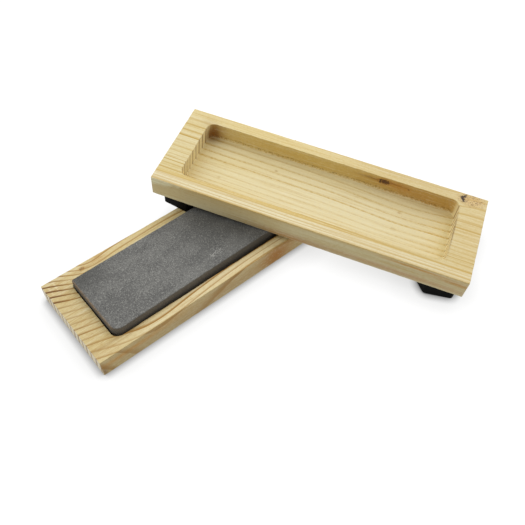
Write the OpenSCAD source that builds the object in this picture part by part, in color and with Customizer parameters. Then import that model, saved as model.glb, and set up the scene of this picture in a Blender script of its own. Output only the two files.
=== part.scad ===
// Sharpening whetstone in its two-part wooden case.
// The case lid lies flat, pocket upwards, with the stone seated in it.
// The case base stands on four rubber feet in use. Here it is set down crosswise, pocket
// upwards: it leans on the stone, with one left foot on the lid's rim and one right foot
// on the table.
// Origin: centre of the lid's underside, on the table. X runs along the lid and the stone,
// Y across them, Z up. "Near" is the -Y side of each half and "left" its -X end.

/* [Case] */
// Length of both halves of the case
case_l = 241; // [225:1:290]
// Width of both halves of the case
case_w = 80; // [76:1:110]
// Corner radius of both pockets, left by the router bit
pocket_r = 6.5; // [3:0.5:9]
// Length of both pockets
pocket_l = 204; // [203:1:212]
// How far both pockets sit off centre, towards the left end
pocket_offset = 1; // [0:0.5:2]

/* [Lid] */
// Height of the lid
lid_h = 16; // [14.5:0.5:24]
// Width of the lid's pocket
lid_pocket_w = 60.5; // [60.5:0.5:64]
// Depth of the lid's pocket
lid_pocket_depth = 12.4; // [8:0.1:12.4]
// Width of the lid's rim on its near side
lid_near_rim = 9; // [9:0.5:10.5]

/* [Base] */
// Height of the base, without its feet
base_h = 17.5; // [16.5:0.5:26]
// Width of the base's pocket
base_pocket_w = 59; // [57:0.5:60]
// Depth of the base's pocket
base_pocket_depth = 14; // [8:0.5:14.5]
// Width of the base's rim on its near side
base_near_rim = 11.5; // [9:0.5:12]

/* [Stone] */
// Length of the stone
stone_l = 200; // [180:1:200]
// Width of the stone
stone_w = 56; // [50:0.5:56]
// Thickness of the stone
stone_h = 17.8; // [14:0.1:17.8]
// How far the stone has turned in its pocket, in degrees
stone_turn = 0.7; // [0:0.1:0.7]
// Radii of the stone's upright corners: near left, near right, far right, far left
stone_corners = [7, 3, 2, 1.5]; // [1:0.5:8]

/* [Feet] */
// Height of each rubber foot
foot_h = 11; // [9:0.5:11]
// Radius of each foot's upright corners
foot_corner_r = 2.5; // [1:0.5:3]

/* [Resting place of the base] */
// Centre of the base's underside, off the centre of the lid
base_at = [79.8, -30.9, 21.9]; // [-120:0.1:120]
// Turn of the base in its own plane, in degrees
base_turn = -60.5; // [-65:0.1:-55]
// Lean of the base over the stone's near edge, in degrees
base_lean = 5.3; // [4:0.1:6]

/* [Hidden] */
// Thin gap that keeps the loose stone clear of the pocket floor
seat_gap = 0.1;
// Centre of the stone: pushed left in its pocket
stone_at = [-2, -0.1, lid_h - lid_pocket_depth + seat_gap];
// Cutters run this far past the face that they open
past = 1;
// Outline of a foot, counted from the end of the base and from its long side.
// Six-sided and the same turned by half a turn: its last three corners mirror its first
// three through the middle of the foot.
foot_centre = [17.7, 12.8];
foot_half = [[4.6, 3.6], [25.4, 0.4], [32.8, 9.2]];
foot_outline = concat(foot_half, [for (p = foot_half) 2 * foot_centre - p]);
// The left feet are glued on this much further from their end than the right ones
left_foot_shift = 2.8;
// Straight pieces in each rounded upright corner
arc_steps = 6;

function unit(v) = v / norm(v);

// Arc of radius r that rounds the corner at b, between its neighbours a and c
function corner_arc(a, b, c, r) =
    let (to_a = unit(a - b),
         to_c = unit(c - b),
         half_angle = acos(to_a * to_c) / 2,
         reach = r / tan(half_angle),
         centre = b + unit(to_a + to_c) * r / sin(half_angle),
         first = b + to_a * reach - centre,
         last = b + to_c * reach - centre,
         start = atan2(first.y, first.x),
         full = atan2(last.y, last.x) - start,
         sweep = full > 180 ? full - 360 : full < -180 ? full + 360 : full)
    [for (i = [0 : arc_steps])
        centre + r * [cos(start + sweep * i / arc_steps), sin(start + sweep * i / arc_steps)]];

// A closed outline with each of its corners rounded to its own radius
function rounded(points, radii) =
    let (n = len(points))
    [for (i = [0 : n - 1])
        each corner_arc(points[(i + n - 1) % n], points[i], points[(i + 1) % n], radii[i])];

// The space that the router cut: a rectangle with round corners, open at the top
module pocket(width, depth) {
    straight_l = pocket_l - 2 * pocket_r;
    straight_w = width - 2 * pocket_r;
    height = depth + past;
    translate([-straight_l / 2, -width / 2, -depth]) cube([straight_l, width, height]);
    translate([-pocket_l / 2, -straight_w / 2, -depth]) cube([pocket_l, straight_w, height]);
    for (x = [-1, 1], y = [-1, 1])
        translate([x * straight_l / 2, y * straight_w / 2, -depth])
            cylinder(r = pocket_r, h = height, $fn = 48);
}

// One half of the case: a solid block of wood with a pocket milled into its top
module case_half(height, width, depth, near_rim) {
    pocket_y = -case_w / 2 + near_rim + width / 2;
    difference() {
        translate([-case_l / 2, -case_w / 2, 0]) cube([case_l, case_w, height]);
        translate([-pocket_offset, pocket_y, height]) pocket(width, depth);
    }
}

// Puts what belongs to the base where the base rests
module base_rest() {
    translate(base_at)
        rotate([base_lean, 0, 0])
            rotate([0, 0, base_turn])
                children();
}

module case_lid() {
    color("burlywood") case_half(lid_h, lid_pocket_w, lid_pocket_depth, lid_near_rim);
}

module case_base() {
    color("wheat")
        base_rest()
            case_half(base_h, base_pocket_w, base_pocket_depth, base_near_rim);
}

module stone() {
    half = [stone_l, stone_w] / 2;
    corners = [for (s = [[-1, -1], [1, -1], [1, 1], [-1, 1]]) [s.x * half.x, s.y * half.y]];
    color("dimgray")
        translate(stone_at)
            rotate([0, 0, stone_turn])
                linear_extrude(stone_h) polygon(rounded(corners, stone_corners));
}

// A rubber foot glued under one corner of the base. end is -1 for the left end and 1 for the
// right, side is -1 for the near side and 1 for the far side.
module foot(end, side) {
    from_end = case_l / 2 - (end < 0 ? left_foot_shift : 0);
    corners = [for (p = foot_outline) [end * (from_end - p.x), side * (case_w / 2 - p.y)]];
    radii = [for (p = foot_outline) foot_corner_r];
    color("black")
        base_rest()
            translate([0, 0, -foot_h]) linear_extrude(foot_h) polygon(rounded(corners, radii));
}

case_lid();
stone();
case_base();
foot(-1, -1);  // foot_left_near
foot(-1, 1);  // foot_left_far
foot(1, -1);  // foot_right_near
foot(1, 1);  // foot_right_far
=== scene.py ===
"""Looks of the sharpening whetstone: a grey bench stone lying in the lid of its pine case, with
the footed base of the case set down crosswise on it.

Each piece is built in its own axes and in millimetres (X along it, Y across it towards its far
side, Z up from its underside), and is then moved to where the frame has it. Every vertex keeps
its own position and normal as attributes, and the materials read those."""

import math

import bmesh
import bpy
from mathutils import Matrix, Vector, noise


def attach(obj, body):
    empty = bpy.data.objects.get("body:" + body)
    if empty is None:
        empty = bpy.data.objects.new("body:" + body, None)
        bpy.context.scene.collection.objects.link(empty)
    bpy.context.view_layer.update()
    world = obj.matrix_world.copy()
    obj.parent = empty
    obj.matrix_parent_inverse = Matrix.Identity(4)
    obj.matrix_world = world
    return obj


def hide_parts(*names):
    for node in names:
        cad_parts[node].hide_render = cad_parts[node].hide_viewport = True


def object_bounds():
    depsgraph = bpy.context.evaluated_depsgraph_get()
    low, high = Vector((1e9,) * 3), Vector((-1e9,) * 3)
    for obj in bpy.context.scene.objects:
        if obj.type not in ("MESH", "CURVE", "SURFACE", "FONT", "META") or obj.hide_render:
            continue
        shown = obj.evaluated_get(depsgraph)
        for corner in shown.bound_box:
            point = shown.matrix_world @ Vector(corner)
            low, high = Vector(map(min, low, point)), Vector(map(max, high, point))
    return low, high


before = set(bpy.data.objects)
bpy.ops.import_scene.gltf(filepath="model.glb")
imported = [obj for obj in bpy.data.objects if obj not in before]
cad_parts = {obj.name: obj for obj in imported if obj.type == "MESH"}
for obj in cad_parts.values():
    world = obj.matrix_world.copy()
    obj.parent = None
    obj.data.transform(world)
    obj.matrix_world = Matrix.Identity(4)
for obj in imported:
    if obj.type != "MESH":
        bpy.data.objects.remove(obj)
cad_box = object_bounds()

MM = 0.001
UP = Vector((0, 0, 1))

# ---------------------------------------------------------------- camera and stage

CAMERA_AZIMUTH = math.radians(-39.95)
CAMERA_ELEVATION = math.radians(52.13)
CAMERA_DISTANCE = 477.4 * MM
CAMERA_AIM = Vector((21.3, -34.5, 0)) * MM
CAMERA_LENS = 43.17
SENSOR_WIDTH = 36

# The floor is a square of paper, and the backdrop a wide ring round it
FLOOR_HALF = 13.0
BACKDROP_RADIUS = 12.0
BACKDROP_HEIGHTS = (-6, 6)
BACKDROP_SIDES = 64

# The way the camera looks, level with the table
LEVEL_VIEW = Vector((-math.sin(CAMERA_AZIMUTH), math.cos(CAMERA_AZIMUTH), 0))


def make_camera():
    view = LEVEL_VIEW * math.cos(CAMERA_ELEVATION) - UP * math.sin(CAMERA_ELEVATION)
    data = bpy.data.cameras.new("camera")
    data.lens = CAMERA_LENS
    data.sensor_width = SENSOR_WIDTH
    data.clip_start = 0.01
    data.clip_end = 40
    camera = bpy.data.objects.new("camera", data)
    camera.location = CAMERA_AIM - view * CAMERA_DISTANCE
    camera.rotation_mode = "QUATERNION"
    camera.rotation_quaternion = view.to_track_quat("-Z", "Y")
    bpy.context.scene.collection.objects.link(camera)
    bpy.context.scene.camera = camera


def area_light(name, towards, distance, size, power):
    """A square soft light that shines at the middle of the object from the direction towards."""
    low, high = cad_box
    middle = (low + high) / 2
    direction = Vector(towards).normalized()
    data = bpy.data.lights.new(name, "AREA")
    data.shape = "SQUARE"
    data.size = size
    data.energy = power
    light = bpy.data.objects.new(name, data)
    light.location = middle + direction * distance
    light.rotation_mode = "QUATERNION"
    light.rotation_quaternion = (-direction).to_track_quat("-Z", "Y")
    bpy.context.scene.collection.objects.link(light)


def make_world(strength, tint):
    world = bpy.data.worlds.new("studio")
    world.use_nodes = True
    background = world.node_tree.nodes["Background"]
    background.inputs["Color"].default_value = (*tint, 1)
    background.inputs["Strength"].default_value = strength
    bpy.context.scene.world = world


def make_floor(material):
    half = FLOOR_HALF
    mesh = bpy.data.meshes.new("floor")
    corners = [(-half, -half, 0), (half, -half, 0), (half, half, 0), (-half, half, 0)]
    mesh.from_pydata(corners, [], [(0, 1, 2, 3)])
    mesh.materials.append(material)
    floor = bpy.data.objects.new("floor", mesh)
    floor.visible_diffuse = False
    bpy.context.scene.collection.objects.link(floor)


def make_backdrop(material):
    """A white wall all round, far away, that only the camera sees."""
    radius = BACKDROP_RADIUS
    mesh = bmesh.new()
    turns = [2 * math.pi * i / BACKDROP_SIDES for i in range(BACKDROP_SIDES)]
    rows = [
        [mesh.verts.new((radius * math.cos(a), radius * math.sin(a), z)) for a in turns]
        for z in BACKDROP_HEIGHTS
    ]
    for i in range(BACKDROP_SIDES):
        j = (i + 1) % BACKDROP_SIDES
        mesh.faces.new((rows[0][i], rows[0][j], rows[1][j], rows[1][i]))
    data = bpy.data.meshes.new("backdrop")
    mesh.to_mesh(data)
    mesh.free()
    data.materials.append(material)
    backdrop = bpy.data.objects.new("backdrop", data)
    backdrop.visible_diffuse = False
    backdrop.visible_glossy = False
    backdrop.visible_shadow = False
    bpy.context.scene.collection.objects.link(backdrop)


# ---------------------------------------------------------------- where the frame has each node


# Two directions are square to each other if their cosine is below SQUARE, and the same if it
# is above PARALLEL
SQUARE = 0.01
PARALLEL = 0.9999


def main_direction(mesh, square_to=None):
    """The direction that most of a mesh's area faces, out of those square to another one."""
    totals = []
    for face in mesh.polygons:
        normal = face.normal
        if square_to and abs(normal.dot(square_to)) > SQUARE:
            continue
        for total in totals:
            if abs(total[0].dot(normal)) > PARALLEL:
                total[1] += face.area
                break
        else:
            totals.append([normal.copy(), face.area])
    return max(totals, key=lambda total: total[1])[0]


def axes_of(node):
    """A CAD node's own axes: along it, across it away from the camera, and up."""
    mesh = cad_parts[node].data
    up = main_direction(mesh)
    if up.z < 0:
        up = -up
    across = main_direction(mesh, up)
    if across.dot(LEVEL_VIEW) < 0:
        across = -across
    return across.cross(up), across, up


def place_of(node, axes=None):
    """The matrix from a node's own millimetres to the frame, and its vertices in them. The
    origin is the centre of its underside."""
    along, across, up = axes or axes_of(node)
    turn = Matrix((along, across, up))
    turned = [turn @ vertex.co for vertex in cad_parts[node].data.vertices]
    low = Vector([min(point[i] for point in turned) for i in range(3)])
    high = Vector([max(point[i] for point in turned) for i in range(3)])
    foot = Vector(((low.x + high.x) / 2, (low.y + high.y) / 2, low.z))
    points = [(point - foot) / MM for point in turned]
    scale = Matrix.Diagonal((MM, MM, MM, 1))
    place = turn.transposed().to_4x4() @ Matrix.Translation(foot) @ scale
    return place, points


def span(points, axis):
    values = [point[axis] for point in points]
    return min(values), max(values)


# ---------------------------------------------------------------- loops and skins

# How many steps a loop takes round each corner, along each long side and along each short one
CORNER_STEPS = 8
LONG_STEPS = 300
SHORT_STEPS = 90
# The smallest corner radius of an inset outline
LEAST_RADIUS = 0.05


class Outline:
    """A rectangle with its own radius at each corner: near left, near right, far right, far
    left. All its loops have as many points, so they can be joined one to the next."""

    def __init__(self, x, y, radii):
        self.x = x
        self.y = y
        self.radii = radii

    def inset(self, by):
        x = (self.x[0] + by, self.x[1] - by)
        y = (self.y[0] + by, self.y[1] - by)
        return Outline(x, y, [max(radius - by, LEAST_RADIUS) for radius in self.radii])

    def loop(self, z):
        """Points at height z, anticlockwise from the near left corner."""
        corners = [
            (self.x[0], self.y[0], 1, 1),
            (self.x[1], self.y[0], -1, 1),
            (self.x[1], self.y[1], -1, -1),
            (self.x[0], self.y[1], 1, -1),
        ]
        points = []
        for i, (x, y, right, back) in enumerate(corners):
            radius = self.radii[i]
            centre = Vector((x + right * radius, y + back * radius, z))
            start = math.pi + i * math.pi / 2
            for step in range(CORNER_STEPS + 1):
                angle = start + math.pi / 2 * step / CORNER_STEPS
                points.append(centre + radius * Vector((math.cos(angle), math.sin(angle), 0)))
            x, y, right, back = corners[(i + 1) % 4]
            radius = self.radii[(i + 1) % 4]
            angle = start + math.pi / 2
            centre = Vector((x + right * radius, y + back * radius, z))
            target = centre + radius * Vector((math.cos(angle), math.sin(angle), 0))
            steps = SHORT_STEPS if i % 2 else LONG_STEPS
            first = points[-1]
            points += [first.lerp(target, step / steps) for step in range(1, steps)]
        return points


def between(first, last, steps):
    """The loops strictly between two loops."""
    return [
        [a.lerp(b, step / steps) for a, b in zip(first, last)] for step in range(1, steps)
    ]


def rippled(loop, depth, size, inward=False):
    """The loop with its points moved in and out by up to depth millimetres, in lumps of about
    size millimetres. With inward, no point moves out."""
    moved = []
    for i, point in enumerate(loop):
        along = (loop[(i + 1) % len(loop)] - loop[i - 1]).normalized()
        out = Vector((along.y, -along.x, 0))
        amount = noise.noise(Vector((point.x, point.y, point.z / 3)) / size)
        moved.append(point + out * depth * (min(amount, 0) if inward else amount))
    return moved


def quarter(steps):
    """How far along its two sides a rounded edge has come, at each step of its arc."""
    turns = [math.pi / 2 * step / steps for step in range(steps + 1)]
    return [(1 - math.cos(turn), math.sin(turn)) for turn in turns]


def skin(loops):
    """A closed mesh through the loops, with its first and last loops filled."""
    mesh = bmesh.new()
    rows = [[mesh.verts.new(point) for point in loop] for loop in loops]
    for row, following in zip(rows, rows[1:]):
        count = len(row)
        for i in range(count):
            j = (i + 1) % count
            mesh.faces.new((row[i], row[j], following[j], following[i]))
    mesh.faces.new(rows[0])
    mesh.faces.new(rows[-1])
    bmesh.ops.recalc_face_normals(mesh, faces=mesh.faces)
    return mesh


def finish_piece(name, mesh, place, body, node, material):
    """Makes a piece of a bmesh in its own millimetres and puts it where the frame has it."""
    mesh.normal_update()
    data = bpy.data.meshes.new(name)
    for face in mesh.faces:
        face.smooth = True
    mesh.to_mesh(data)
    own = data.attributes.new("own_mm", "FLOAT_VECTOR", "POINT")
    own.data.foreach_set("vector", [c for vertex in mesh.verts for c in vertex.co])
    facing = data.attributes.new("own_normal", "FLOAT_VECTOR", "POINT")
    facing.data.foreach_set("vector", [c for vertex in mesh.verts for c in vertex.normal])
    mesh.free()
    data.transform(place)
    data.materials.append(material)
    piece = bpy.data.objects.new(name, data)
    bpy.context.scene.collection.objects.link(piece)
    shading = piece.modifiers.new("even_shading", "WEIGHTED_NORMAL")
    shading.keep_sharp = True
    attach(piece, body)
    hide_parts(node)


# ---------------------------------------------------------------- material building


class Nodes:
    """Short names for building one material's nodes. Lengths are in the piece's millimetres."""

    def __init__(self, name):
        self.material = bpy.data.materials.new(name)
        self.material.use_nodes = True
        self.tree = self.material.node_tree
        self.shader = self.tree.nodes["Principled BSDF"]
        self.own = self.attribute("own_mm")
        self.facing = self.attribute("own_normal")

    def put(self, socket, value):
        """Links a socket to an input, or sets the input to a plain value."""
        if isinstance(value, bpy.types.NodeSocket):
            self.tree.links.new(value, socket)
        else:
            socket.default_value = value

    def attribute(self, name):
        node = self.tree.nodes.new("ShaderNodeAttribute")
        node.attribute_name = name
        return node.outputs["Vector"]

    def maths(self, operation, *values):
        node = self.tree.nodes.new("ShaderNodeMath")
        node.operation = operation
        for socket, value in zip(node.inputs, values):
            self.put(socket, value)
        return node.outputs[0]

    def add(self, *values):
        total = values[0]
        for value in values[1:]:
            total = self.maths("ADD", total, value)
        return total

    def times(self, *values):
        total = values[0]
        for value in values[1:]:
            total = self.maths("MULTIPLY", total, value)
        return total

    def vector(self, operation, first, second):
        node = self.tree.nodes.new("ShaderNodeVectorMath")
        node.operation = operation
        self.put(node.inputs[0], first)
        self.put(node.inputs[1], second)
        return node.outputs["Value" if operation in ("LENGTH", "DOT_PRODUCT") else "Vector"]

    def split(self, vector):
        node = self.tree.nodes.new("ShaderNodeSeparateXYZ")
        self.put(node.inputs[0], vector)
        return node.outputs[0], node.outputs[1], node.outputs[2]

    def noise(self, size, detail=2.0, roughness=0.5):
        """Noise from 0 to 1. Its lumps are about size millimetres, which is one number or one for
        each axis."""
        stretch = (size,) * 3 if isinstance(size, (int, float)) else size
        node = self.tree.nodes.new("ShaderNodeTexNoise")
        node.inputs["Scale"].default_value = 1.0
        node.inputs["Detail"].default_value = detail
        node.inputs["Roughness"].default_value = roughness
        scaled = self.vector("MULTIPLY", self.own, [1 / length for length in stretch])
        self.put(node.inputs["Vector"], scaled)
        return node.outputs["Fac"]

    def cells(self, size):
        """Three random numbers from 0 to 1 for each grain of about size millimetres."""
        node = self.tree.nodes.new("ShaderNodeTexVoronoi")
        node.inputs["Scale"].default_value = 1 / size
        self.put(node.inputs["Vector"], self.own)
        return self.split(node.outputs["Color"])

    def random(self, number):
        """A random number from 0 to 1 that depends on number alone."""
        node = self.tree.nodes.new("ShaderNodeTexWhiteNoise")
        node.noise_dimensions = "1D"
        self.put(node.inputs["W"], number)
        return node.outputs["Value"]

    def step(self, value, start, end, low=0.0, high=1.0):
        """Goes smoothly from low to high while value goes from start to end."""
        node = self.tree.nodes.new("ShaderNodeMapRange")
        node.interpolation_type = "SMOOTHSTEP"
        self.put(node.inputs["Value"], value)
        self.put(node.inputs["From Min"], start)
        self.put(node.inputs["From Max"], end)
        self.put(node.inputs["To Min"], low)
        self.put(node.inputs["To Max"], high)
        return node.outputs["Result"]

    def near(self, centre, reach):
        """1 at centre, falling off as a bell with its own reach along each axis."""
        offset = self.vector("SUBTRACT", self.own, centre)
        scaled = self.vector("MULTIPLY", offset, [1 / length for length in reach])
        square = self.vector("DOT_PRODUCT", scaled, scaled)
        return self.maths("EXPONENT", self.times(square, -1.0))

    def line(self, value, at, width):
        """1 where value is at, falling off as a bell."""
        offset = self.times(self.add(value, -at), 1 / width)
        return self.maths("EXPONENT", self.times(offset, offset, -1.0))

    def mix(self, share, first, second):
        """The first colour where share is 0, and the second where it is 1."""
        node = self.tree.nodes.new("ShaderNodeMix")
        node.data_type = "RGBA"
        self.put(node.inputs["Factor"], share)
        self.put(node.inputs["A"], colour(first))
        self.put(node.inputs["B"], colour(second))
        return node.outputs["Result"]

    def bump(self, height, depth, strength):
        """Relief of a height from 0 to 1 that stands depth millimetres high."""
        node = self.tree.nodes.new("ShaderNodeBump")
        node.inputs["Strength"].default_value = strength
        node.inputs["Distance"].default_value = depth * MM
        self.put(node.inputs["Height"], height)
        self.put(self.shader.inputs["Normal"], node.outputs["Normal"])

    def set(self, **settings):
        """Puts colour, specular or roughness on the shader."""
        names = {"colour": "Base Color", "specular": "Specular IOR Level"}
        for key, value in settings.items():
            self.put(self.shader.inputs[names.get(key, key.capitalize())], value)


def colour(value):
    """A socket as it is, or a colour written as three sRGB numbers from 0 to 255 as Blender's."""
    if isinstance(value, bpy.types.NodeSocket):
        return value
    shares = [number / 255 for number in value]
    linear = [s / 12.92 if s <= 0.04045 else ((s + 0.055) / 1.055) ** 2.4 for s in shares]
    return (*linear, 1.0)


# ---------------------------------------------------------------- pine

SAPWOOD = (240, 231, 198)
RESIN_CANAL = (150, 112, 62)
FLECK = (160, 118, 60)
BURNT_RING = (116, 76, 36)
END_RING = (126, 84, 42)
FLOOR_NAP = (234, 221, 172)
TORN_TUFT = (240, 228, 180)
TORN_PIT = (124, 86, 34)

# Each half of the case is a block cut from one board, and its look is a solid pattern in the
# half's own millimetres. A patch is a centre, its reach along each axis, and what it does there.
BASE_LOOK = {
    # The pale early wood of each ring, its dark late wood, and warmer stretches
    "early": (231, 219, 174),
    "late": (196, 160, 76),
    "warm": (222, 203, 140),
    # Pale sapwood starts this far towards the near side
    "sapwood": 32.2,
    # Fine lines along the half: how far towards the near side, width, colour and amount
    "lines": [
        (31.6, 0.35, (206, 168, 84), 0.8),
        (34.4, 0.28, (212, 182, 112), 0.75),
        (36.9, 0.36, (206, 172, 98), 0.8),
    ],
    # Where the pocket's far wall is, across the half
    "far_wall": 30.5,
    # The colour of end grain and how much of it shows, and where in each ring its dark part
    # starts and is darkest
    "end_tint": (246, 230, 180),
    "end_pale": 0.85,
    "end_rings": (0.56, 0.9),
    # Rings per millimetre, and the extra rings squeezed into a tight band on the near side:
    # how many, how far from the middle, and how wide the band is
    "rate": 0.155,
    "tight": (2.5, 19.6, 7.0),
    # Which part of a ring lies in the middle of the half
    "phase": 0.05,
    # How far the rings lean with each millimetre along the half and up it, and how much more
    # they lean up it with each millimetre towards the far side
    "drift": 0.018,
    "tilt": -0.085,
    "fan": 0.0,
    # How many millimetres the rings wander
    "wave": 1.0,
    # How strong the streaks are on the faces that look to the near side
    "side_streaks": 0.4,
    # Where the rings bend round something: centre, reach, and how far they are pushed towards
    # the near side
    "pushes": [
        ((58, 14, 10), (36, 34, 60), 2.8),
        ((116, 36, 16), (18, 16, 60), -5.0),
    ],
    # Where the rings are fainter, or bolder if the amount is below 0: centre, reach, amount
    "faint": [
        ((-20, 40, 17), (110, 13, 8), 0.75),
        ((60, 40, 17), (40, 13, 8), 0.6),
        ((-112, 0, 17), (12, 40, 8), -0.35),
        ((101, 0, 3), (22, 40, 3), -0.6),
        ((-100, 0, 3), (16, 40, 3), -0.6),
    ],
    # Where the rings are dark brown: centre, reach, amount
    "burnt": [],
    # Patches of another colour on every face, a few of them painted light and shade: centre,
    # reach, colour and amount
    "tints": [
        ((-20, 38, 17), (160, 10, 9), (232, 211, 148), 0.7),
        ((-30, -30.0, 17), (110, 1.8, 4), (220, 188, 104), 0.85),
        ((86, 0, 8), (56, 90, 22), (206, 188, 138), 0.5),
        ((0, -39.3, 17.5), (300, 0.7, 2), (206, 172, 92), 0.6),
        ((116, 0, 17), (16, 44, 8), (222, 198, 140), 0.6),
        ((-103, 0, 3), (9, 40, 3), (210, 182, 104), 0.5),
        ((101, 0, 3), (9, 40, 3), (206, 188, 112), 0.6),
        ((64, 37, 17), (56, 6, 9), (212, 188, 132), 0.75),
        ((22, -4, 3), (76, 30, 3), (232, 223, 188), 0.75),
        # Painted light: a pale band on the floor at the foot of the far wall lifts the shade the
        # wall casts there
        ((0, 25.5, 3.4), (110, 3.4, 0.9), (255, 244, 196), 0.75),
        ((60, -3.5, 3.5), (1.6, 1.3, 2), (186, 160, 108), 0.7),
        ((61, 13.5, 3.5), (1.8, 1.1, 2), (176, 132, 56), 0.8),
        ((-40, 15.5, 3.5), (1.2, 1.0, 2), (170, 132, 66), 0.8),
        ((-79, -9, 3.5), (1.2, 1.4, 2), (190, 160, 96), 0.7),
    ],
    # The same on the faces that look to the near side, among them painted light and shade
    "stains_and_painted_light": [
        ((-10, 31, 9), (120, 3, 16), (214, 184, 100), 0.8),
        ((76, 31, 9), (44, 3, 16), (190, 140, 64), 0.8),
        # The dark brown at the left end of the far wall is a reddish stain with painted shade of
        # the corner over it
        ((-104, 31, 8), (11, 3, 20), (140, 80, 6), 1.0),
        ((33, 31, 12.9), (9, 3, 0.9), (120, 80, 36), 0.75),
        ((54, 31, 12.5), (8, 3, 3.4), (190, 128, 48), 0.7),
        ((20, -40, 9), (120, 3, 14), (206, 194, 142), 0.6),
        ((-10, -40, 1), (24, 3, 3.0), (200, 132, 52), 0.9),
        ((72, -40, 3.5), (70, 3, 2.6), (200, 162, 120), 0.8),
        ((84, -40, 14.6), (24, 3, 1.1), (204, 142, 46), 0.9),
        ((113, -40, 11.8), (15, 3, 1.7), (194, 140, 58), 0.9),
        ((-95, -40, 16.8), (18, 3, 1.6), (226, 176, 76), 0.9),
        ((-10, -40, 17.2), (200, 3, 0.7), (216, 182, 104), 0.8),
        # Painted shade: darker along the bottom of the near side
        ((-20, -40, 1), (56, 3, 5), (150, 120, 74), 0.55),
        # Painted light: the left end of the near side is lightened as if by light thrown up from
        # the floor
        ((-112, -40, 9), (36, 3, 22), (255, 253, 216), 1.0),
        ((-92, -40.2, 10), (0.7, 2, 3.0), (250, 244, 214), 0.8),
    ],
    # Patches that lie over all but the knots, scorched or worn, and in the pocket's far left
    # corner painted shade over a reddish stain: centre, reach, colour, amount
    "scorched_and_shaded": [
        # Partly painted shade: the deep brown in the pocket's far left corner
        ((-101.8, 29.5, 8), (7, 6, 7.5), (132, 80, 8), 0.9),
        ((101.3, 1, 17.3), (0.45, 17, 0.8), (124, 90, 44), 0.8),
    ],
    # Knots: centre, reach, and how strong its dark core, its crack and its specks are
    "knots": [
        ((42.8, 31, 13.0), (5.6, 5, 3.6), 0.95, 0.9, 0.5),
        ((62, 31, 12.5), (1.4, 3, 1.2), 0.7, 0.0, 0.0),
        ((108.5, 34.5, 17), (9.5, 5.5, 9), 0.0, 1.0, 1.0),
    ],
}

LID_LOOK = {
    "early": (224, 208, 156),
    "late": (170, 124, 52),
    "warm": (214, 192, 130),
    # Past the near side, so the lid has no sapwood
    "sapwood": 90.0,
    "lines": [],
    "far_wall": 29.5,
    "end_tint": (252, 243, 216),
    "end_pale": 0.78,
    "end_rings": (0.46, 0.88),
    "rate": 0.2,
    "tight": (0.0, 0.0, 10.0),
    "phase": 0.1,
    "drift": 0.0,
    "tilt": 0.36,
    "fan": 0.0044,
    "wave": 4.0,
    "side_streaks": 0.15,
    "pushes": [
        ((-140, 0, 10), (45, 80, 200), -12.0),
        ((-132, 44, 24), (34, 36, 34), -14.0),
        ((-86, 38, 16), (16, 12, 40), 5.0),
        ((-20, 40, 16), (46, 12, 40), -4.0),
        ((-80, -38, 16), (44, 9, 40), 5.0),
        ((20, -38, 16), (46, 9, 40), -3.0),
    ],
    "faint": [
        ((-30, -36, 16), (80, 8, 8), -0.9),
        ((-30, 38, 16), (60, 6, 8), -0.3),
        ((-118, 32, 16), (14, 13, 8), -1.2),
    ],
    "burnt": [
        ((-119, 30, 16), (14, 15, 8), 1.0),
        ((-118, 0, 16), (6, 30, 8), 0.4),
    ],
    "tints": [
        ((-114, 31, 16), (12, 10, 9), (184, 148, 88), 0.3),
        ((-113, 0, 16), (9, 34, 8), (206, 184, 132), 0.4),
        ((-10, 37, 16), (70, 6, 8), (236, 215, 156), 0.65),
        # A golden-brown line along the near rim, darkened further as painted contact shadow
        # beside the stone
        ((-10, -30.8, 16), (110, 1.3, 3), (150, 108, 46), 0.85),
        ((-76, 37, 16), (7, 5, 8), (196, 150, 84), 0.45),
        ((-20, -35.5, 16), (90, 4, 5), (238, 222, 178), 0.8),
        ((-112.5, 33.5, 16), (0.7, 4.5, 2), (240, 226, 184), 0.9),
        ((-117.0, 32, 16), (0.7, 3.5, 2), (240, 226, 184), 0.9),
    ],
    "stains_and_painted_light": [
        ((0, -40, 8), (300, 3, 14), (206, 178, 126), 0.4),
        ((-96, -40, 9.5), (34, 3, 2.2), (218, 160, 74), 0.8),
        ((-66, -40, 14), (16, 3, 3), (222, 172, 92), 0.6),
        ((-20, -40, 5), (40, 3, 6), (190, 156, 110), 0.5),
        ((30, -40, 7), (15, 3, 14), (180, 118, 34), 0.95),
        ((-75, -40, 4), (40, 3, 6), (200, 176, 126), 0.6),
        ((-119, -39, 4), (2.2, 2.2, 6), (120, 76, 40), 0.8),
    ],
    "scorched_and_shaded": [],
    "knots": [((-90, 35.3, 16), (2.6, 1.8, 6), 0.5, 0.4, 0.0)],
}


# The number of the ring in the middle of a half, high enough that none has one below 0
MIDDLE_RING = 40


def ring_number(g, look):
    """Which growth ring a place lies in, and as a fraction how far through it. The rings are
    nearly flat sheets along the half, one behind the other."""
    x, y, z = g.split(g.own)
    slow = g.noise((130, 45, 45), detail=1.5)
    fine = g.noise((30, 5, 5), detail=2.0)
    across = g.add(y, g.times(g.add(slow, -0.5), look["wave"]), g.times(g.add(fine, -0.5), 0.7))
    lean = g.add(g.times(y, look["fan"]), look["tilt"])
    across = g.add(across, g.times(x, look["drift"]), g.times(z, lean))
    for centre, reach, amount in look["pushes"]:
        across = g.add(across, g.times(g.near(centre, reach), amount))
    nearer = g.times(across, -1.0)
    extra, middle, width = look["tight"]
    squeeze = g.maths("TANH", g.times(g.add(nearer, -middle), 1 / width))
    start = look["phase"] + MIDDLE_RING
    return g.add(g.times(nearer, look["rate"]), g.times(squeeze, extra / 2), start)


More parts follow.
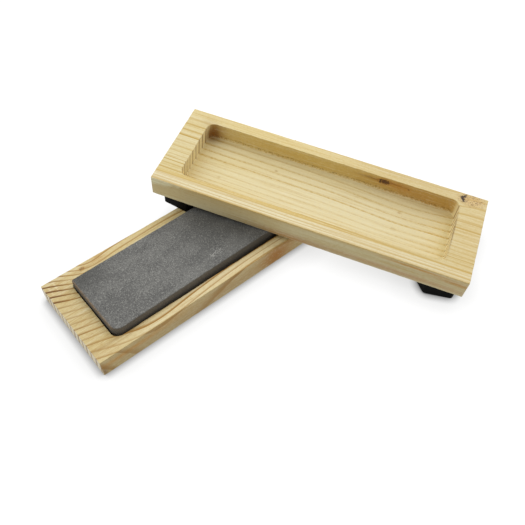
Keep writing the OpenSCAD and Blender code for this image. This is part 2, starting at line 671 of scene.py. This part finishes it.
def pine(name, look):
    """Planed pine with its growth rings, streaks, stained patches, knots and torn fibres, and
    patches of painted light and shade.
    """
    g = Nodes(name)
    facing_x, facing_y, facing_z = g.split(g.facing)
    end = g.step(g.maths("ABSOLUTE", facing_x), 0.5, 0.9)
    front = g.step(facing_y, -0.4, -0.8)

    rings = ring_number(g, look)
    share = g.maths("FRACT", rings)

    # How far towards the near side a place is, bent a little as the rings are
    bend = g.times(g.add(g.noise((90, 24, 24), detail=1.0), -0.5), 2.0)
    beyond = g.add(g.times(g.split(g.own)[1], -1.0), bend)

    # The dark late wood at the end of each ring, weaker in some rings than in others
    strength = g.step(g.random(g.maths("FLOOR", rings)), 0.0, 1.0, 0.4, 1.0)
    for centre, reach, amount in look["faint"]:
        strength = g.times(strength, g.add(1.0, g.times(g.near(centre, reach), -amount)))
    late = g.times(g.step(share, 0.58, 0.93), g.step(share, 0.95, 1.0, 1.0, 0.0), strength)

    # Broad changes of colour and patches, among them painted light and shade, then streaks,
    # fibres and resin canals
    tone = g.noise((90, 16, 16), detail=2.0)
    streaks = g.noise((60, 1.7, 1.7), detail=3.0, roughness=0.6)
    fuzz = g.noise((2.4, 1.1, 1.1), detail=2.0, roughness=0.7)
    fibres = g.noise((16, 0.5, 0.5), detail=3.0, roughness=0.65)
    pores = g.noise((2.6, 0.35, 0.35), detail=1.0)
    flecks = g.noise((5.0, 1.2, 1.2), detail=1.0)
    body = g.mix(g.step(tone, 0.35, 0.7, 0.0, 0.6), look["early"], look["warm"])
    edge = look["sapwood"]
    body = g.mix(g.step(beyond, edge, edge + 0.5, 0.0, 0.85), body, SAPWOOD)
    for centre, reach, tint, amount in look["tints"]:
        body = g.mix(g.times(g.near(centre, reach), amount), body, tint)
    for centre, reach, tint, amount in look["stains_and_painted_light"]:
        body = g.mix(g.times(g.near(centre, reach), front, amount), body, tint)
    streaky = g.step(front, 0.0, 1.0, 0.45, look["side_streaks"])
    body = g.mix(g.times(g.step(streaks, 0.5, 0.72), streaky), body, look["late"])
    body = g.mix(g.times(g.step(streaks, 0.48, 0.3), streaky), body, SAPWOOD)
    body = g.mix(g.step(fuzz, 0.5, 0.7, 0.0, 0.22), body, look["late"])
    body = g.mix(g.step(fuzz, 0.48, 0.3, 0.0, 0.22), body, SAPWOOD)
    body = g.mix(g.times(late, 0.9), body, look["late"])
    for at, width, tint, amount in look["lines"]:
        body = g.mix(g.times(g.line(beyond, at, width), amount), body, tint)
    for centre, reach, amount in look["burnt"]:
        body = g.mix(g.times(late, g.near(centre, reach), amount), body, BURNT_RING)
    body = g.mix(g.times(g.step(fibres, 0.35, 0.75), 0.2), body, look["late"])
    body = g.mix(g.times(g.step(pores, 0.68, 0.78), 0.35), body, RESIN_CANAL)
    body = g.mix(g.times(g.step(flecks, 0.78, 0.84), 0.5), body, FLECK)

    # End grain is paler between its rings and browner in them
    body = g.mix(g.times(end, look["end_pale"]), body, look["end_tint"])
    start, full = look["end_rings"]
    grooves = g.times(end, g.step(share, start, full), g.step(share, 0.95, 1.0, 1.0, 0.0))
    body = g.mix(g.times(grooves, g.step(strength, 0.2, 1.0, 0.45, 0.85)), body, END_RING)

    # Fibres torn up where the router ran: a nap on the floor, and tufts and pits at the foot
    # of the pocket's far wall
    floor = g.times(g.near((0, 0, 3.6), (300, 300, 1.0)), g.step(facing_z, 0.4, 0.9))
    body = g.mix(g.times(floor, g.step(fuzz, 0.42, 0.55), 0.45), body, FLOOR_NAP)
    ragged = g.noise(1.4, detail=1.5)
    tufts = g.near((0, look["far_wall"], 4.3), (400, 1.4, 0.9))
    body = g.mix(g.times(tufts, g.step(ragged, 0.46, 0.58), 0.55), body, TORN_TUFT)
    pits = g.near((0, look["far_wall"], 5.6), (400, 1.4, 0.8))
    body = g.mix(g.times(pits, g.step(ragged, 0.52, 0.42), 0.5), body, TORN_PIT)
    for centre, reach, tint, amount in look["scorched_and_shaded"]:
        body = g.mix(g.times(g.near(centre, reach), amount), body, tint)

    relief = g.add(g.times(late, 0.5), g.times(fibres, 0.6), g.times(pores, -0.3))
    for knot in look["knots"]:
        body, relief = add_knot(g, body, relief, *knot)

    g.set(colour=body, roughness=g.step(fibres, 0.2, 0.8, 0.5, 0.66), specular=0.35)
    g.bump(relief, 0.12, 0.5)
    return g.material


# The two browns of a knot's own rings, its tail, the two of its core, its specks and its crack
KNOT_RINGS = ((214, 162, 80), (170, 112, 46))
KNOT_TAIL = (150, 98, 40)
KNOT_CORE = ((98, 64, 42), (62, 38, 28))
KNOT_SPECK = (104, 66, 38)
KNOT_CRACK = (44, 24, 16)


def add_knot(g, body, relief, centre, reach, core, crack, specks):
    """Paints a knot: a brown patch with rings of its own, and in it a dark core with a tail
    along the grain, a crack round its left side and specks."""
    rough = g.noise(2.2, detail=3.0)
    speckled = g.noise(0.9, detail=2.0)
    offset = g.vector("SUBTRACT", g.own, centre)
    shrunk = g.vector("MULTIPLY", offset, [1 / length for length in reach])
    far = g.add(g.vector("LENGTH", shrunk, (0, 0, 0)), g.times(g.add(rough, -0.5), 0.9))
    swirl = g.step(g.maths("SINE", g.times(far, 14.0)), -0.5, 1.0)
    brown = g.mix(swirl, *KNOT_RINGS)
    body = g.mix(g.step(far, 1.5, 0.5, 0.0, 0.35 + 0.35 * core), body, brown)
    tail = g.near(centre, (reach[0] * 2.6, reach[1], reach[2] * 0.45))
    streaks = g.step(g.noise((12, 1.1, 1.1)), 0.4, 0.6)
    body = g.mix(g.times(tail, streaks, core), body, KNOT_TAIL)
    jagged = g.add(far, g.times(g.add(speckled, -0.5), 1.5))
    heart = g.mix(g.step(jagged, 0.15, 0.45), *KNOT_CORE)
    body = g.mix(g.times(g.step(jagged, 0.85, 0.3), core), body, heart)
    speck = g.times(g.step(speckled, 0.56, 0.64), g.step(far, 1.3, 0.8), specks)
    body = g.mix(g.times(speck, 0.85), body, KNOT_SPECK)
    left = g.step(g.split(shrunk)[0], -0.35, -0.6)
    gap = g.times(g.step(far, 0.55, 0.65), g.step(far, 0.9, 0.78), left, crack)
    body = g.mix(g.times(gap, 0.95), body, KNOT_CRACK)
    return body, g.add(relief, g.times(gap, -2.0), g.times(speck, -0.4))


# ---------------------------------------------------------------- stone, rubber and floor


GRIT_DARK = (108, 108, 107)
GRIT_PALE = (126, 126, 124)
GRIT_SIDE_REFLECTED_LIGHT = (110, 103, 94)
GRIT_WORN_AND_SHADED = (64, 65, 62)
MOTTLE_DARK = (84, 84, 82)
MOTTLE_PALE = (150, 150, 146)
CLUMP_DARK = (72, 72, 71)
CLUMP_PALE = (166, 166, 162)
GRAIN_DARK = (52, 52, 50)
GRAIN_PALE = (172, 172, 167)
WOOD_REFLECTION_TINT = (150, 122, 88)
SCRATCH = (190, 190, 186)
RUBBER_DARK = (5, 5, 5)
RUBBER_PALE = (11, 11, 10)
# Sizes and places on the stone, in its own millimetres: its grains and clumps of grains, and
# the centre and reach of the patches dark with use and painted shade, and of the scratched one
GRAIN_SIZE = 0.5
CLUMP_SIZE = 0.8
WORN_AND_SHADED_PATCHES = (
    ((28, 6, 17.8), (40, 44, 20)),
    ((-96, 26, 17.8), (22, 12, 8)),
)
SCRATCHED_PATCH = ((-8, -18.5, 17.8), (5, 2.6, 3))


def grit(name):
    """Grey bonded grit: pale and dark grains, patches dark with use and painted shade, a painted
    reflection of the wood on one arris, brownish sides of painted reflected light, and a few
    scratches.
    """
    g = Nodes(name)
    side = g.step(g.maths("ABSOLUTE", g.split(g.facing)[2]), 0.75, 0.4)
    blotch = g.noise((22, 14, 14), detail=3.0)
    mottle = g.noise(1.1, detail=3.0, roughness=0.85)
    grain = g.cells(GRAIN_SIZE)[0]
    clump = g.cells(CLUMP_SIZE)[1]
    body = g.mix(g.step(blotch, 0.35, 0.65), GRIT_DARK, GRIT_PALE)
    body = g.mix(g.step(mottle, 0.6, 0.35, 0.0, 0.25), body, MOTTLE_DARK)
    body = g.mix(g.step(mottle, 0.55, 0.75, 0.0, 0.15), body, MOTTLE_PALE)
    body = g.mix(g.step(clump, 0.75, 1.0, 0.0, 0.12), body, CLUMP_PALE)
    body = g.mix(g.step(clump, 0.2, 0.0, 0.0, 0.15), body, CLUMP_DARK)
    body = g.mix(g.step(grain, 0.7, 1.0, 0.0, 0.5), body, GRAIN_PALE)
    body = g.mix(g.step(grain, 0.25, 0.0, 0.0, 0.5), body, GRAIN_DARK)
    # Painted light: the sides get a brownish grey that stands in for warm light thrown on them by
    # the wood and for light from the front
    body = g.mix(g.times(side, 0.75), body, GRIT_SIDE_REFLECTED_LIGHT)

    # Dark with use towards the middle and at its far left corner; the patch towards the middle is
    # also painted shadow of the base that lies over the stone
    worn_and_shaded = g.add(*[g.near(centre, reach) for centre, reach in WORN_AND_SHADED_PATCHES])
    body = g.mix(g.times(worn_and_shaded, 0.55), body, GRIT_WORN_AND_SHADED)

    # A painted reflection of the wood, tan, on the arris of the left end, and pale scratches near
    # the near edge
    x, _, z = g.split(g.own)
    speckled = g.times(g.step(x, -98.6, -99.6), g.step(z, 15.5, 17.2), g.step(mottle, 0.35, 0.6))
    body = g.mix(g.times(speckled, 0.75), body, WOOD_REFLECTION_TINT)
    marks = g.times(g.near(*SCRATCHED_PATCH), g.step(grain, 0.45, 0.8))
    body = g.mix(g.times(marks, 0.8), body, SCRATCH)
    relief = g.add(g.times(grain, 0.5), g.times(clump, 0.3), mottle)
    g.set(colour=body, roughness=g.step(grain, 0.8, 1.0, 0.85, 0.55), specular=0.3)
    g.bump(relief, 0.1, 0.7)
    return g.material


def rubber(name):
    """Black rubber with a faint cloudiness and a fine speckle."""
    g = Nodes(name)
    cloud = g.noise(4.0, detail=3.0)
    speck = g.noise(0.35, detail=2.0)
    body = g.mix(g.step(cloud, 0.3, 0.7), RUBBER_DARK, RUBBER_PALE)
    g.set(colour=body, roughness=g.step(speck, 0.3, 0.7, 0.6, 0.8), specular=0.06)
    g.bump(speck, 0.03, 0.5)
    return g.material


# How far round an object the painted shadow on the paper reaches, in millimetres: close to it,
# and more widely
PAPER_REACHES = (6, 24)
WIDE_SHARE = 0.32
PAPER_CONTRAST = 1.5
PAPER_GLOW = 1.02


def paper(name):
    """White paper that glows, with a painted shadow: its glow darkens only close to what lies on
    it.
    """
    material = bpy.data.materials.new(name)
    material.use_nodes = True
    material.cycles.emission_sampling = "NONE"
    tree = material.node_tree
    shader = tree.nodes["Principled BSDF"]
    shader.inputs["Base Color"].default_value = (0.08, 0.08, 0.08, 1)
    shader.inputs["Roughness"].default_value = 0.9
    shader.inputs["Specular IOR Level"].default_value = 0.0
    shader.inputs["Emission Strength"].default_value = PAPER_GLOW
    glow = tree.nodes.new("ShaderNodeMix")
    glow.data_type = "RGBA"
    glow.inputs["Factor"].default_value = WIDE_SHARE
    for socket, reach in zip("AB", PAPER_REACHES):
        contact = tree.nodes.new("ShaderNodeAmbientOcclusion")
        contact.samples = 16
        contact.inputs["Distance"].default_value = reach * MM
        tree.links.new(contact.outputs["Color"], glow.inputs[socket])
    darker = tree.nodes.new("ShaderNodeGamma")
    darker.inputs["Gamma"].default_value = PAPER_CONTRAST
    tree.links.new(glow.outputs["Result"], darker.inputs["Color"])
    tree.links.new(darker.outputs["Color"], shader.inputs["Emission Color"])
    return material


# ---------------------------------------------------------------- the two halves of the case

# Radii of the eased outer edges, of the eased rim of the pocket, and of the fillet round its
# floor
EDGE_EASE = 0.4
RIM_EASE = 0.35
FLOOR_FILLET = 1.0
EASE_STEPS = 4
WALL_STEPS = 8
RIM_STEPS = 5
POCKET_WALL_STEPS = 10
# How far in from their edges the loops on the underside and on the pocket's floor run
UNDERSIDE_INSETS = (30, 20, 10, 3)
FLOOR_INSETS = (2, 4, 8, 14, 20, 26)
# How far handling has dented the outer edges, and how far the router wandered and chattered,
# each with the length of its ripples
EDGE_WEAR = 0.22
EDGE_WEAR_LENGTH = 3.5
CUTTER_DRIFT = 0.3
CUTTER_DRIFT_LENGTH = 7
CUTTER_CHATTER = 0.14
CUTTER_CHATTER_LENGTH = 2


def worn(loop):
    return rippled(loop, EDGE_WEAR, EDGE_WEAR_LENGTH, inward=True)


def milled(loop):
    drifted = rippled(loop, CUTTER_DRIFT, CUTTER_DRIFT_LENGTH)
    return rippled(drifted, CUTTER_CHATTER, CUTTER_CHATTER_LENGTH)


def pocket_of(points, long, wide):
    """The outline of a case half's pocket and the height of its floor, from its vertices. long
    and wide are where the half starts and ends along X and Y."""
    margin = 1.0
    near_enough = 0.01
    inner = [
        p for p in points
        if long[0] + margin < p.x < long[1] - margin and wide[0] + margin < p.y < wide[1] - margin
    ]
    floor_z = min(p.z for p in inner if p.z > margin)
    floor = [p for p in inner if p.z < floor_z + near_enough]
    x, y = span(floor, 0), span(floor, 1)
    corner_start = max(p.x for p in floor if p.y > y[1] - near_enough)
    return Outline(x, y, [x[1] - corner_start] * 4), floor_z


def tray_loops(points):
    """The loops of a case half from the middle of its underside to the middle of its floor."""
    long, wide, top = (span(points, axis) for axis in range(3))
    height = top[1]
    block = Outline(long, wide, [EDGE_EASE] * 4)
    pocket, floor_z = pocket_of(points, long, wide)
    loops = [block.inset(inset).loop(0) for inset in UNDERSIDE_INSETS]
    arc = quarter(EASE_STEPS)
    for aside, along in reversed(arc):
        loops.append(worn(block.inset(EDGE_EASE * along).loop(EDGE_EASE * aside)))
    loops += between(loops[-1], worn(block.loop(height - EDGE_EASE)), WALL_STEPS)
    for aside, along in arc:
        edge = block.inset(EDGE_EASE * aside)
        loops.append(worn(edge.loop(height - EDGE_EASE * (1 - along))))
    loops += between(loops[-1], milled(pocket.inset(-RIM_EASE).loop(height)), RIM_STEPS)
    for aside, along in reversed(arc):
        edge = pocket.inset(-RIM_EASE * aside)
        loops.append(milled(edge.loop(height - RIM_EASE * (1 - along))))
    for aside, along in arc:
        inset = pocket.inset(FLOOR_FILLET * aside)
        ring = milled(inset.loop(floor_z + FLOOR_FILLET * (1 - along)))
        if aside == 0:
            loops += between(loops[-1], ring, POCKET_WALL_STEPS)
        loops.append(ring)
    loops += [pocket.inset(inset).loop(floor_z) for inset in FLOOR_INSETS]
    return loops


def make_half(name, node, body, material):
    place, points = place_of(node)
    mesh = skin(tray_loops(points))
    finish_piece(name, mesh, place, body, node, material)


# ---------------------------------------------------------------- the stone

# Radii of the upright corners, as the CAD part has them: near left, near right, far right,
# far left
STONE_CORNERS = (7, 3, 2, 1.5)
ARRIS = 0.6
ARRIS_STEPS = 3
SIDE_STEPS = 12
# How far small chips go into the edges round the honing face, and how long they are
CHIPS = 0.35
CHIP_LENGTH = 1.8
# How far in from their edges the loops on its underside and on its honing face run
BED_INSETS = (24, 10, 3)
HONING_FACE_INSETS = (1.2, 2.5, 5, 10, 17, 24)


def chipped(loop):
    return rippled(loop, CHIPS, CHIP_LENGTH, inward=True)


def make_stone(material):
    place, points = place_of("stone")
    long, wide, top = (span(points, axis) for axis in range(3))
    outline = Outline(long, wide, STONE_CORNERS)
    height = top[1]
    arc = quarter(ARRIS_STEPS)
    loops = [outline.inset(inset).loop(0) for inset in BED_INSETS]
    for aside, along in reversed(arc):
        loops.append(outline.inset(ARRIS * along).loop(ARRIS * aside))
    below_chips = outline.loop(height - 2 * ARRIS)
    loops += between(loops[-1], below_chips, SIDE_STEPS)
    loops.append(below_chips)
    for aside, along in arc:
        edge = outline.inset(ARRIS * aside)
        loops.append(chipped(edge.loop(height - ARRIS * (1 - along))))
    loops += [outline.inset(inset).loop(height) for inset in HONING_FACE_INSETS]
    mesh = skin(loops)
    finish_piece("bench_stone", mesh, place, "stone", "stone", material)


# ---------------------------------------------------------------- the feet

FOOT_EASE = 0.3
FOOT_EASE_STEPS = 3
FOOT_WALL_STEPS = 6
# The loops on a foot's underside and top, as shares of its outline
FOOT_UNDERSIDE = (0.3, 0.6, 0.85)
FOOT_TOP = (0.85, 0.5)


def foot_loops(points):
    """A foot's own outline, drawn in a little at its top and bottom edges."""
    height = max(p.z for p in points)
    underside = [p for p in points if p.z < 0.01]
    unique = {(round(p.x, 3), round(p.y, 3)): p for p in underside}
    ordered = sorted(unique.values(), key=lambda p: math.atan2(p.y, p.x))

    def drawn(share, z):
        return [Vector((p.x * share, p.y * share, z)) for p in ordered]

    reach = max(p.xy.length for p in ordered)
    loops = [drawn(share, 0) for share in FOOT_UNDERSIDE]
    arc = quarter(FOOT_EASE_STEPS)
    for aside, along in reversed(arc):
        loops.append(drawn(1 - FOOT_EASE * along / reach, FOOT_EASE * aside))
    loops += between(loops[-1], drawn(1, height - FOOT_EASE), FOOT_WALL_STEPS)
    for aside, along in arc:
        loops.append(drawn(1 - FOOT_EASE * aside / reach, height - FOOT_EASE * (1 - along)))
    loops += [drawn(share, height) for share in FOOT_TOP]
    return loops


def make_feet(material):
    axes = axes_of("case_base")
    for node in sorted(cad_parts):
        if node.startswith("foot_"):
            place, points = place_of(node, axes)
            mesh = skin(foot_loops(points))
            name = node.replace("foot", "rubber_foot")
            finish_piece(name, mesh, place, "base", node, material)


# ---------------------------------------------------------------- everything

bpy.context.scene.view_settings.view_transform = "Standard"

make_camera()
make_world(strength=0.5, tint=(1.0, 0.985, 0.94))
area_light("overhead", towards=(0.85, 0.25, 1.0), distance=1.5, size=1.4, power=12.6)
area_light("side", towards=(-0.6, 0.74, 0.95), distance=1.8, size=1.2, power=8.8)
white = paper("white_paper")
make_floor(white)
make_backdrop(white)

make_half("pine_lid", "case_lid", "lid", pine("pine_of_lid", LID_LOOK))
make_half("pine_base", "case_base", "base", pine("pine_of_base", BASE_LOOK))
make_stone(grit("grey_grit"))
make_feet(rubber("black_rubber"))
